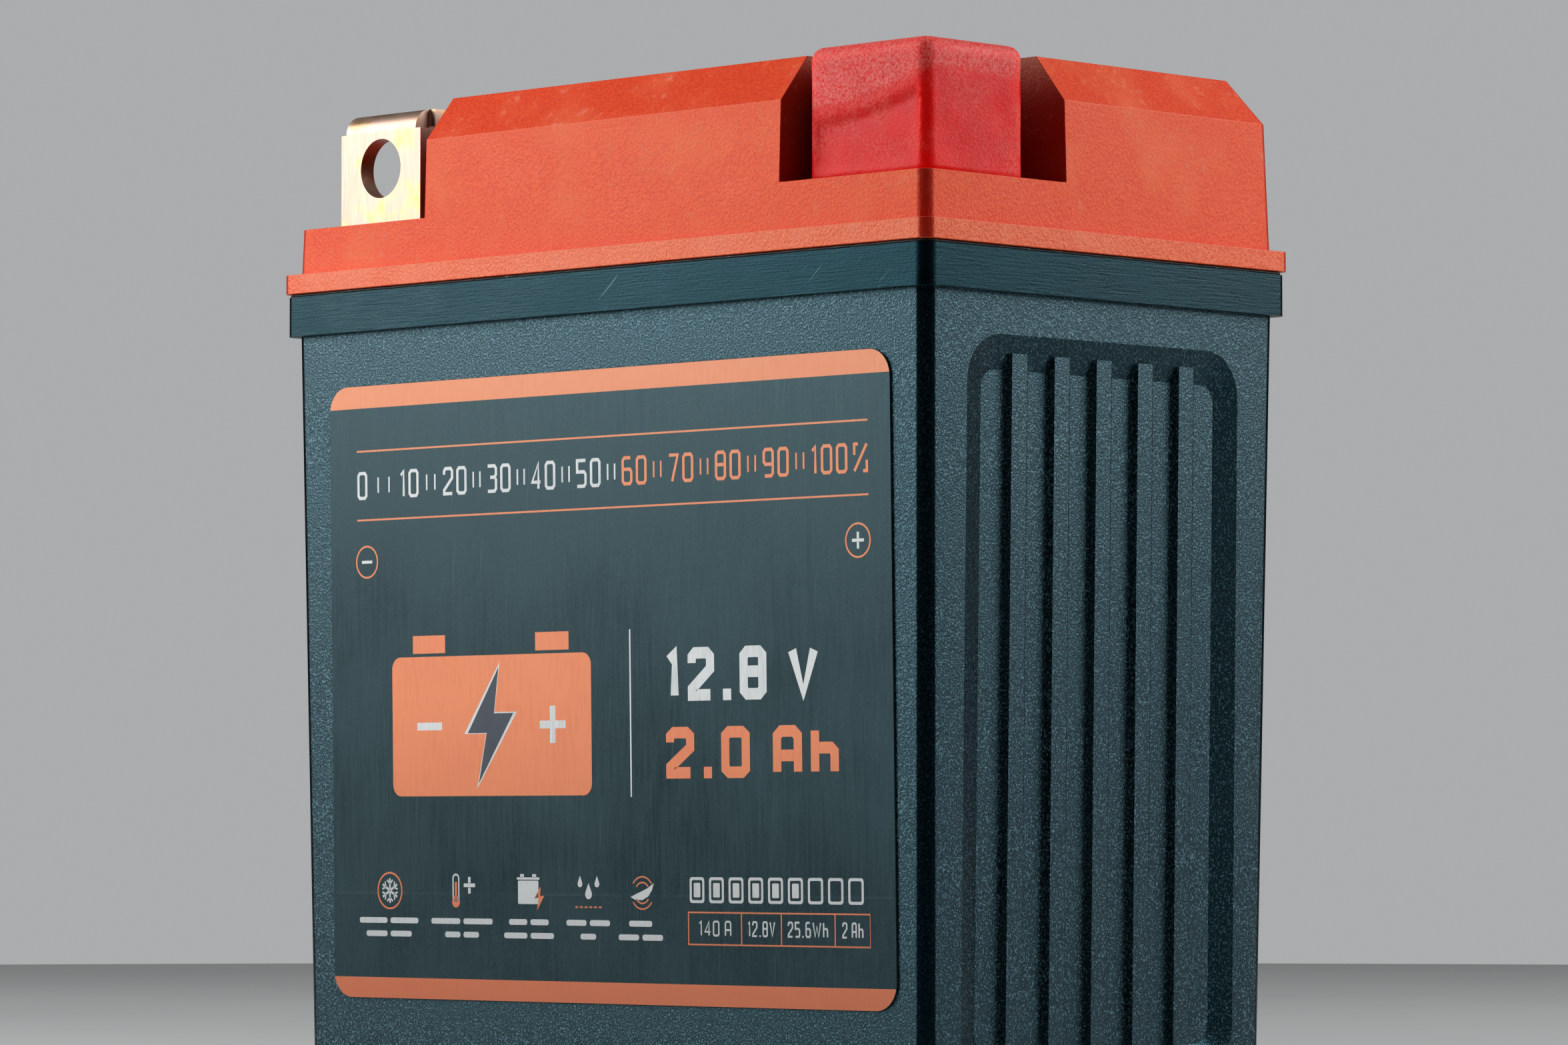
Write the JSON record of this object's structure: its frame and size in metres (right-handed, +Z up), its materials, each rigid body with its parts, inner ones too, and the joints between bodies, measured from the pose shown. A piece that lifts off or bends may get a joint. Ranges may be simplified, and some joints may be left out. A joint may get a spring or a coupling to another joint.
{
  "type": "motorcycle battery",
  "caption": "Box-shaped sealed lithium motorcycle battery with a bright stepped lid, corner terminal notches, a pull-off terminal cap, ribbed ends and a printed front label.",
  "frame": {"origin": "middle of the base, on the surface that the battery stands on", "axes": "+Z up, +X towards the positive (capped) end, -Y towards the labelled front, where both terminals' plates face"},
  "size_m": [0.099, 0.057, 0.1115],
  "materials": {
    "jar_plastic": "satin",
    "lid_plastic": "satin",
    "bead": "matte",
    "label_film": "satin",
    "terminal_brass": "polished",
    "cap_vinyl": "satin",
    "cell": "satin",
    "holder_plastic": "matte",
    "nickel": "satin",
    "insulator_paper": "matte",
    "foam": "matte",
    "board_laminate": "satin",
    "chip": "matte",
    "connector_plastic": "satin",
    "lead_red": "satin",
    "lead_black": "satin",
    "gasket_rubber": "matte"
  },
  "bodies": {
    "battery": {"balance_connector": "connector_plastic", "balance_resistor_1": "chip", "balance_resistor_2": "chip", "balance_resistor_3": "chip", "balance_resistor_4": "chip", "base_foam": "foam", "board_foam": "foam", "bottom_insulator": "insulator_paper", "cell_1": "cell", "cell_2": "cell", "cell_3": "cell", "cell_4": "cell", "cell_5": "cell", "cell_6": "cell", "cell_7": "cell", "cell_8": "cell", "cell_holder_lower": "holder_plastic", "cell_holder_upper": "holder_plastic", "control_chip": "chip", "end_foam_left": "foam", "end_foam_right": "foam", "front_label": "label_film", "jar": "jar_plastic", "lid": "lid_plastic", "lid_weld_bead": "bead", "link_strap_1": "nickel", "link_strap_2": "nickel", "link_strap_3": "nickel", "negative_busbar": "nickel", "negative_gasket": "gasket_rubber", "negative_lead": "lead_black", "negative_lug": "nickel", "negative_rivet": "nickel", "negative_terminal": "terminal_brass", "positive_busbar": "nickel", "positive_gasket": "gasket_rubber", "positive_lead": "lead_red", "positive_lug": "nickel", "positive_rivet": "nickel", "positive_terminal": "terminal_brass", "power_transistor_1": "chip", "power_transistor_2": "chip", "power_transistor_3": "chip", "power_transistor_4": "chip", "protection_board": "board_laminate", "sense_wire_1": "lead_red", "sense_wire_2": "lead_red", "sense_wire_3": "lead_red", "sense_wire_4": "lead_red", "sense_wire_5": "lead_red", "side_foam_back": "foam", "side_foam_front": "foam", "top_insulator": "insulator_paper"},
    "cap": {"terminal_cap": "cap_vinyl"}
  },
  "joints": [
    {"name": "cap_pull", "type": "slide", "parent": "battery", "child": "cap", "axis": [0, 0, 1], "range_m": [0, 0.03]}
  ]
}
